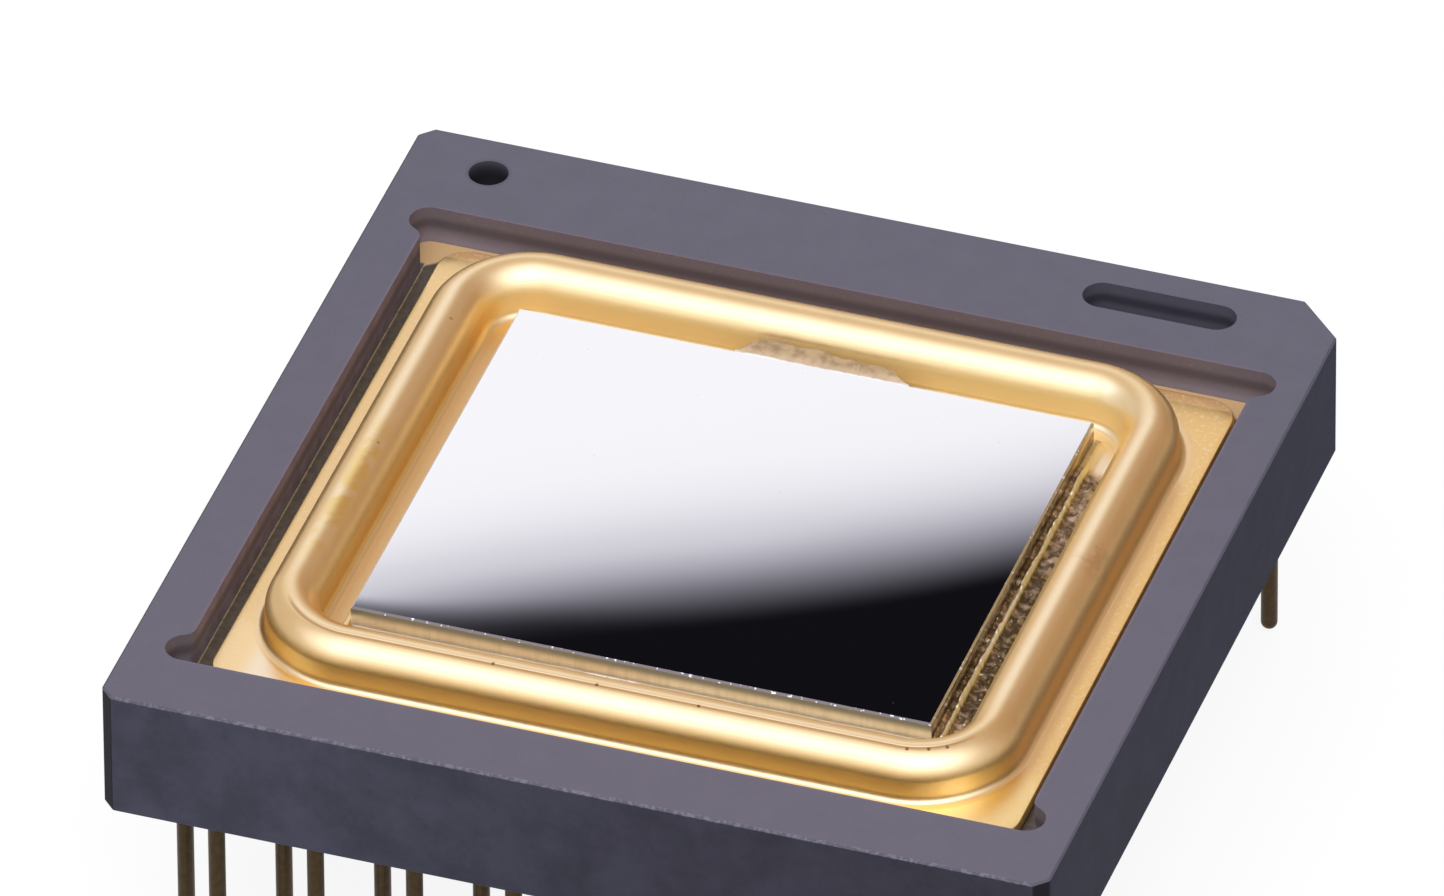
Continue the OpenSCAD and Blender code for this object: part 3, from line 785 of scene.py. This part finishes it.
# The recess, the hole and the depth of the joint between two ceramic layers
RECESS_CENTRE, RECESS_HALF, RECESS_DEPTH = (0.05, -0.585), (10.68, 9.53), 1.05
HOLE, HOLE_R = (BODY_LOW.x + 2.185, BODY_HIGH.y - 1.34), 0.5
JOINT = 0.46
# Distances from the middle between which the outer sides set in, and places where the back reliefs do
SIDES_FROM, RELIEFS_FROM = (11.6, 11.65), (8.0, 8.1)


def outer_tint(look, x, y, nx, ny):
    """The tint of the outer sides, with soft clouds: bluer and darker, most of all on the cut corners, as painted
    shade. The front side is painted darker to the right, the right side darker still, and the left and back sides
    lighter.
    """
    front = look.grade(x, -9.0, 5.0, CERAMIC_TINT["front side left"], CERAMIC_TINT["front side right"])
    right = look.grade(y, 0.0, 11.0, CERAMIC_TINT["right side front"], CERAMIC_TINT["right side back"])
    painted_side_shade = look.grade(look.magnitude(nx), 0.3, 0.9, front, right)
    painted_side_shade = look.over(painted_side_shade, CERAMIC_TINT["left side"], look.smooth(nx, -0.3, -0.9))
    painted_side_shade = look.over(painted_side_shade, CERAMIC_TINT["back side"], look.smooth(ny, 0.3, 0.9))
    diagonal = look.near(look.magnitude(look.times(nx, ny)), 0.5, 0.05, 0.2)
    # The cut corners in front are painted nearly black, as painted shade
    painted_side_shade = look.over(painted_side_shade, CERAMIC_TINT["cut corner"], diagonal, look.smooth(ny, -0.2, -0.4), 0.95)
    clouds = look.smooth(look.noise(0.55, detail=6.0, roughness=0.65), 0.3, 0.7, 0.82, 1.18)
    return look.tinted(painted_side_shade, look.add("ShaderNodeCombineXYZ", {0: clouds, 1: clouds, 2: clouds}).outputs[0])


def inner_tint(look, depth, nx, inside):
    """The tint of the inner walls: a dark joint, and in the recess browner above it and lighter below. In the recess
    it is painted light, lighter than the ceramic's own colour and browned as light reflected from the gold.
    """
    joint, lower = look.near(depth, JOINT, 0.03, 0.24), look.smooth(depth, 0.3, 0.8)
    brown = look.grade(depth, 0.55, 1.0, CERAMIC_TINT["wall upper"], CERAMIC_TINT["wall lower"])
    flecks = look.times(look.smooth(look.noise(9.0, detail=2.0), 0.62, 0.72), look.smooth(depth, 0.5, 0.2))
    brown = look.over(brown, CERAMIC_TINT["wall fleck"], flecks, 0.35)
    left = look.mix(lower, CERAMIC_TINT["left wall upper"], CERAMIC_TINT["left wall lower"])
    blots = look.mix(lower, CERAMIC_TINT["left wall upper blot"], CERAMIC_TINT["left wall lower blot"])
    left = look.grade(look.noise(1.6), 0.35, 0.65, left, blots)
    brown = look.over(brown, left, look.smooth(nx, 0.6, 0.9))
    brown = look.over(brown, CERAMIC_TINT["wall joint"], joint, 0.6)
    hole = look.over(CERAMIC_TINT["hole wall"], CERAMIC_TINT["hole wall joint"], joint, 0.8)
    return look.mix(inside, hole, brown)


def ceramic():
    """Dark fired ceramic, ground on top, with saw-cut sides and a joint between layers in the walls of the recess. Its
    colour carries painted light and shade on the sides, the recess walls, the hole and the edges.
    """
    made, look = material("ceramic")
    x, y, z = look.axes(look.millimetres())
    nx, ny, nz = look.axes(look.normal())
    depth = look.minus(BODY_HIGH.z, z)
    inside = look.smooth(look.across(RECESS_CENTRE, RECESS_HALF, 0.5), 0.9, 0.6)
    grain = look.noise(16.0, detail=3.0)
    colour = look.grade(look.noise(1.1, detail=5.0), 0.3, 0.7, CERAMIC["dark"], CERAMIC["light"])
    colour = look.over(colour, CERAMIC["grain"], look.smooth(grain, 0.35, 0.75, 0.0, 0.6))
    top = look.grade(y, -11.0, 11.0, CERAMIC_TINT["top front"], CERAMIC_TINT["top back"])
    colour = look.tinted(colour, top)
    wall = look.smooth(look.magnitude(nz), 0.7, 0.3)
    outer = look.times(wall, look.smooth(look.largest(look.magnitude(x), look.magnitude(y)), *SIDES_FROM))
    # Painted shade on the outer sides, and painted light on the walls of the recess
    colour = look.over(colour, look.tinted(colour, outer_tint(look, x, y, nx, ny)), outer)
    inner = look.times(wall, look.minus(1.0, outer))
    colour = look.over(colour, look.tinted(colour, inner_tint(look, depth, nx, inside)), inner)
    # The hole is painted nearly black below the top, as painted shade inside it
    hole = look.smooth(look.across(HOLE, (HOLE_R, HOLE_R), HOLE_R), 0.1, 0.05)
    colour = look.over(colour, CERAMIC["hole"], hole, look.smooth(depth, -0.1, 0.3), 0.8)

    # Painted light on the edges: a pinkish painted highlight round the recess, a thin dark edge of painted shade at
    # the back and the left, and a painted highlight along the front edge
    rim = look.near(look.across(RECESS_CENTRE, RECESS_HALF, 0.05), 0.0, 0.03, 0.1)
    colour = look.over(colour, CERAMIC["recess edge"], rim, look.smooth(depth, 0.06, 0.0), 0.5)
    back = look.smooth(y, BODY_HIGH.y - 0.07, BODY_HIGH.y - 0.04)
    left = look.smooth(x, BODY_LOW.x + 0.05, BODY_LOW.x + 0.03)
    colour = look.over(colour, CERAMIC["back and left edge"], look.largest(back, left), 0.8)
    # A painted highlight along the front edge, broken up by noise
    edge_highlight = look.times(look.near(y, BODY_LOW.y, 0.04, 0.1), look.smooth(depth, 0.1, 0.03),
                      look.smooth(look.noise(9.0), 0.45, 0.6))
    colour = look.over(colour, CERAMIC["front edge highlight"], edge_highlight, 0.5)
    normal = look.bump(grain, 0.006)
    body = look.surface(base_color=colour, roughness=0.8, specular_ior_level=0.3, normal=normal)

    # The metallisation of the recess floor runs into the two reliefs at the back
    metal = look.times(look.smooth(depth, RECESS_DEPTH - 0.05, RECESS_DEPTH - 0.02), look.smooth(nz, 0.7, 0.9),
                       look.smooth(y, *RELIEFS_FROM), inside)
    floor = look.surface(base_color=FIRED_GOLD, metallic=0.35, roughness=0.42)
    look.end(look.blend(metal, body, floor))
    return made


# The colours for each way a side or bevel faces are painted light and shade
WINDOW = {
    "side": (0.9, 0.84, 0.66),
    "side mark": (1.0, 0.95, 0.76),
    "side under bevel": (0.3, 0.3, 0.24),
    "side back and left": (0.75, 0.75, 0.7),
    "side right": (0.2, 0.145, 0.085),
    "side right streak": (0.6, 0.47, 0.31),
    "bevel": (0.18, 0.16, 0.135),
    "bevel right": (0.5, 0.4, 0.22),
    "bevel back and left": (0.95, 0.93, 0.95),
    "chip": (0.85, 0.85, 0.85),
    "mirror": (0.92, 0.913, 0.72),
    "dust": (0.35, 0.33, 0.3),
}
# Heights between which the window's sides darken
UNDER_BEVEL = (7.98, 8.2)


def window():
    """A mirror coating on top, and cut sides with fine upright marks and chipped bevels. The sides and bevels take a
    colour for each way they face, as painted light and shade: the bevels pale at the back and left, the right side
    dark brown.
    """
    made, look = material("window_coating")
    nx, ny, nz = look.axes(look.normal())
    _, _, z = look.axes(look.millimetres())
    back_and_left = look.largest(ny, look.times(nx, -1.0))
    upright = look.noise(7.0, vector=look.vector("MULTIPLY", look.place(), (1, 1, 0.06)))
    lengthwise = look.noise(6.0, detail=3.0, vector=look.vector("MULTIPLY", look.place(), (1, 0.07, 1)))
    streaks = look.smooth(lengthwise, 0.48, 0.6)
    streaks = look.maths("MULTIPLY_ADD", look.smooth(upright, 0.5, 0.65), 0.3, streaks)

    cut = look.grade(upright, 0.35, 0.6, WINDOW["side"], WINDOW["side mark"])
    cut = look.over(cut, WINDOW["side under bevel"], look.smooth(z, *UNDER_BEVEL))
    # Lit and shaded copies by the way each side faces: painted light and shade
    cut = look.over(cut, WINDOW["side back and left"], look.smooth(back_and_left, 0.5, 0.9))
    right = look.mix(streaks, WINDOW["side right"], WINDOW["side right streak"])
    cut = look.over(cut, right, look.smooth(nx, 0.5, 0.9))
    metallic = look.smooth(nx, 0.5, 0.9, 0.5, 1.0)
    side = look.surface(base_color=cut, metallic=metallic, roughness=0.16, normal=look.bump(upright, 0.004))

    # The bevels take a colour for each way they face: painted light and shade, pale at the back and left
    bevel = look.grade(nx, 0.3, 0.6, WINDOW["bevel"], WINDOW["bevel right"])
    bevel = look.over(bevel, WINDOW["bevel back and left"], look.smooth(back_and_left, 0.3, 0.6))
    bevel = look.over(bevel, WINDOW["chip"], look.smooth(look.noise(8.0, detail=1.0), 0.62, 0.72))
    bevel = look.surface(base_color=bevel, metallic=0.6, roughness=0.45)

    mirror = look.surface(base_color=WINDOW["mirror"], metallic=1.0, roughness=0.0)
    dust = look.add("ShaderNodeBsdfDiffuse", {"Color": WINDOW["dust"]}).outputs[0]
    mirror = look.blend(look.smooth(look.noise(5.0, detail=1.0), 0.8, 0.84, 0.0, 0.2), mirror, dust)
    low = look.blend(look.smooth(nz, 0.2, 0.5), side, bevel)
    look.end(look.blend(look.smooth(nz, 0.9, 0.99), low, mirror))
    return made


# Among these, painted highlights: the cream back right, the run's glints, the ridge, and the smear by and on the
# window
SOLDER = {
    "back right": (1.0, 0.85, 0.55),
    "run": (0.11, 0.076, 0.036),
    "run grain": (0.42, 0.32, 0.18),
    "run glint": (0.95, 0.85, 0.6),
    "run end": (0.3, 0.2, 0.1),
    "run end grain": (0.7, 0.52, 0.3),
    "run lump": (0.72, 0.56, 0.4),
    "ridge": (0.9, 0.82, 0.52),
    "ridge middle": (1.0, 0.93, 0.68),
    "front": (0.31, 0.25, 0.16),
    "front patch": (0.8, 0.8, 0.8),
    "smear": (0.4, 0.26, 0.13),
    "smear grain": (0.58, 0.41, 0.23),
    "smear by window": (0.85, 0.66, 0.46),
    "smear on window": (1.0, 0.98, 0.94),
}


def run_colour(look, x, y, z, grain):
    """Colour of the run on the right: dark and granular, lighter at its ends, with painted glints and a bright ridge
    along it, whose brightness is a painted highlight.
    """
    run = look.grade(grain, 0.45, 0.7, SOLDER["run"], SOLDER["run grain"])
    # Painted glints on the granular run
    glints = look.smooth(look.noise(9.0, detail=2.0), 0.65, 0.7)
    run = look.over(run, SOLDER["run glint"], glints, look.smooth(y, 0.5, -2.5))
    ends = look.largest(look.smooth(y, -5.4, -6.2), look.smooth(y, -0.5, 4.0, 0.0, 0.6))
    end_colour = look.grade(grain, 0.4, 0.6, SOLDER["run end"], SOLDER["run end grain"])
    run = look.over(run, end_colour, ends, 0.8)
    lumps = look.times(look.smooth(look.noise(2.2), 0.45, 0.6),
                       look.smooth(x, WINDOW_HIGH.x + 0.25, WINDOW_HIGH.x + 0.5), look.smooth(y, -0.8, 1.2))
    run = look.over(run, SOLDER["run lump"], lumps, 0.8)
    # The ridge's top is painted bright: a painted highlight
    ridge = look.near(x, WINDOW_HIGH.x + RIDGE_PLACE, 0.03, 0.07)
    ridge_colour = look.mix(look.near(y, -2.1, 1.0, 1.8), SOLDER["ridge"], SOLDER["ridge middle"])
    return look.over(run, ridge_colour, ridge, look.smooth(z, LEDGE + 0.07, LEDGE + 0.1))


def smear_colour(look, y):
    """Colour of the smear at the back: tan, and paler towards and on the window, as a painted highlight."""
    tan = look.grade(look.noise(4.0, detail=3.0), 0.35, 0.65, SOLDER["smear"], SOLDER["smear grain"])
    by_window = look.smooth(y, WINDOW_HIGH.y + 0.25, WINDOW_HIGH.y + 0.05, 0.0, 0.4)
    tan = look.over(tan, SOLDER["smear by window"], by_window)
    return look.over(tan, SOLDER["smear on window"], look.smooth(y, WINDOW_HIGH.y + 0.04, WINDOW_HIGH.y - 0.01))


def solder():
    """Solder that is golden by the window, dark and granular on the right, and matte and tan at the back. It carries
    painted highlights: cream at the back right, glints in the run, a bright ridge and a pale smear on the window.
    """
    made, look = material("window_solder")
    x, y, z = look.axes(look.millimetres())
    grain = look.noise(5.0)
    wander = look.maths("MULTIPLY_ADD", look.noise(1.5), 0.8, y)
    run = look.smooth(wander, RUN_BACK + 0.4, RUN_BACK - 0.2)
    fillet = look.smooth(x, WINDOW_HIGH.x + 0.2, WINDOW_HIGH.x + 0.05, 0.0, 0.6)
    right = look.times(look.smooth(x, WINDOW_HIGH.x - 0.1, WINDOW_HIGH.x), look.largest(run, fillet))
    # Painted highlight: cream solder on the right of the window
    tint = look.grade(x, 6.5, 7.0, GOLD, SOLDER["back right"])
    tint = look.over(tint, run_colour(look, x, y, z, grain), right)

    front = look.smooth(y, WINDOW_LOW.y + 0.05, WINDOW_LOW.y - 0.05)
    patches = look.largest(look.near(x, -3.2, 0.05, 0.25), look.near(x, -0.65, 0.4, 0.75))
    patches = look.times(patches, look.smooth(look.noise(4.0), 0.42, 0.55),
                         look.smooth(z, LEDGE + 0.06, LEDGE + 0.12))
    pale = look.mix(patches, SOLDER["front"], SOLDER["front patch"])
    tint = look.over(tint, pale, front, look.smooth(x, WINDOW_HIGH.x, WINDOW_HIGH.x - 0.2))

    smear = look.times(look.smooth(z, WINDOW_HIGH.z - 0.4, WINDOW_HIGH.z - 0.3),
                       look.smooth(y, WINDOW_HIGH.y - 0.3, WINDOW_HIGH.y - 0.2))
    tint = look.over(tint, smear_colour(look, y), smear)

    matte = look.largest(smear, look.times(patches, front))
    height = look.times(look.largest(right, look.times(smear, 0.3)), grain)
    look.end(look.surface(
        base_color=tint,
        metallic=look.smooth(matte, 0.0, 1.0, 1.0, 0.15),
        roughness=look.smooth(look.largest(matte, look.times(front, 0.7)), 0.0, 1.0, 0.36, 0.6),
        normal=look.bump(height, 0.03),
    ))
    return made


# Each plain material: the two colours that it varies between, its roughness, and how metallic it is
PLAIN = {
    "lid_solder": ((0.5, 0.38, 0.22), (0.7, 0.53, 0.3), 0.4, 1.0),
    "silicon": ((0.1, 0.09, 0.12), (0.16, 0.14, 0.18), 0.2, 0.5),
    "die_attach": ((0.4, 0.4, 0.42), (0.52, 0.52, 0.54), 0.7, 0.0),
    "getter": ((0.1, 0.1, 0.11), (0.17, 0.17, 0.18), 0.75, 0.4),
    "nickel": ((0.45, 0.43, 0.4), (0.56, 0.54, 0.5), 0.35, 1.0),
    "braze": ((0.55, 0.46, 0.3), (0.7, 0.6, 0.4), 0.35, 1.0),
    # The pins' plating is a very dark brown: painted shade, as the pins stand in the body's shade
    "pin_plating": ((0.053, 0.032, 0.011), (0.075, 0.046, 0.018), 0.42, 0.7),
}
PLAIN_NODES = {
    "lid_preform": "lid_solder",
    "detector_die": "silicon",
    "die_attach": "die_attach",
    "getter_strip": "getter",
    "getter_tabs": "nickel",
    "pin_brazes": "braze",
}
PLATED_NODES = ("die_pad_metal", "bond_fingers", "bond_wires", "pin_pads")


def plain(name):
    """A fine-grained material that varies between two colours."""
    first, second, roughness, metallic = PLAIN[name]
    made, look = material(name)
    grain = look.noise(6.0)
    colour = look.grade(grain, 0.3, 0.7, first, second)
    look.end(look.surface(base_color=colour, metallic=metallic, roughness=roughness, normal=look.bump(grain, 0.003)))
    return made


def dress_nodes():
    dress("ceramic_package", ceramic())
    dress("infrared_window", window())
    dress("seal_ring", seal_gold())
    gold = plating()
    for node in PLATED_NODES:
        dress(node, gold)
    for node, name in PLAIN_NODES.items():
        dress(node, plain(name))
    pin = plain("pin_plating")
    for node in nodes:
        if node.startswith("pin_") and node[4:].isdigit():
            dress(node, pin)


# The dark part of the studio that the window mirrors

CARD_RISE = 300.0
CARD_MARGIN = 0.4
CARD_BLACK = (0.0058, 0.0055, 0.0072)
CARD_TINT = (1.0, 0.97, 1.13)
# Its edge lies on the window at y = CARD_START + CARD_SLOPE * x + CARD_BEND * x ** 3, and its shade spreads from there
CARD_START, CARD_SLOPE, CARD_BEND = -2.1, 0.5213, 0.00166
CARD_TOE, CARD_FALL = 2.9, 3.95


def card_black():
    """Nearly black in front of the card's edge, and clearer by degrees behind it."""
    made, look = material("dark_card")
    x, y = (look.times(c, 1 / MM) for c in look.axes(look.place())[:2])
    bend = look.maths("MULTIPLY_ADD", look.maths("POWER", x, 3.0), CARD_BEND, look.times(x, CARD_SLOPE))
    depth = look.minus(look.minus(y, bend), CARD_START)
    steps = look.maths("DIVIDE", look.largest(look.maths("ADD", depth, CARD_TOE), 0.0), CARD_FALL)
    share = look.minus(1.0, look.maths("EXPONENT", look.times(look.times(steps, steps), -1.0)))
    # It is lighter halfway on the left, and ends in a dark strip that grows narrow to the left
    lift = look.times(look.near(depth, 0.2, 0.3, 1.6), look.smooth(x, 4.0, 0.5), 0.1)
    strip = look.smooth(look.maths("ADD", y, WINDOW_HALF[1]), look.smooth(x, -5.0, -2.0, 0.0, 0.6),
                        look.smooth(x, -9.0, 1.0, 0.4, 2.8), 0.3, 1.0)
    share = look.times(share, look.maths("ADD", lift, 1.0), strip)
    seen = look.vector("MULTIPLY", look.mix(share, CARD_TINT, (1.0, 1.0, 1.0)), share)
    look.end(look.add("ShaderNodeBsdfTransparent", {"Color": look.vector("ADD", seen, CARD_BLACK)}).outputs[0])
    return made


def make_card():
    """A card that only reflections show, far along the window's mirrored view, so that its edge crosses the window."""
    scale = 1 + CARD_RISE / (CAMERA_PLACE[2] - WINDOW_HIGH.z)
    place = [CAMERA_PLACE[i] + (CENTRE[i] - CAMERA_PLACE[i]) * scale for i in (0, 1)]
    card = rectangle("dark_card", *(half + CARD_MARGIN for half in WINDOW_HALF), card_black())
    card.location = (place[0] * MM, place[1] * MM, (WINDOW_HIGH.z + CARD_RISE) * MM)
    card.scale = (scale, scale, 1)
    for rays in ("camera", "diffuse", "transmission", "volume_scatter", "shadow"):
        setattr(card, "visible_" + rays, False)


make_camera()
make_world()
make_floor()
make_card()
dress_nodes()
make_lid(lid_gold())
alloy = solder()
make_solder(alloy)
make_smear(alloy)

bpy.context.scene.view_settings.view_transform = "Standard"
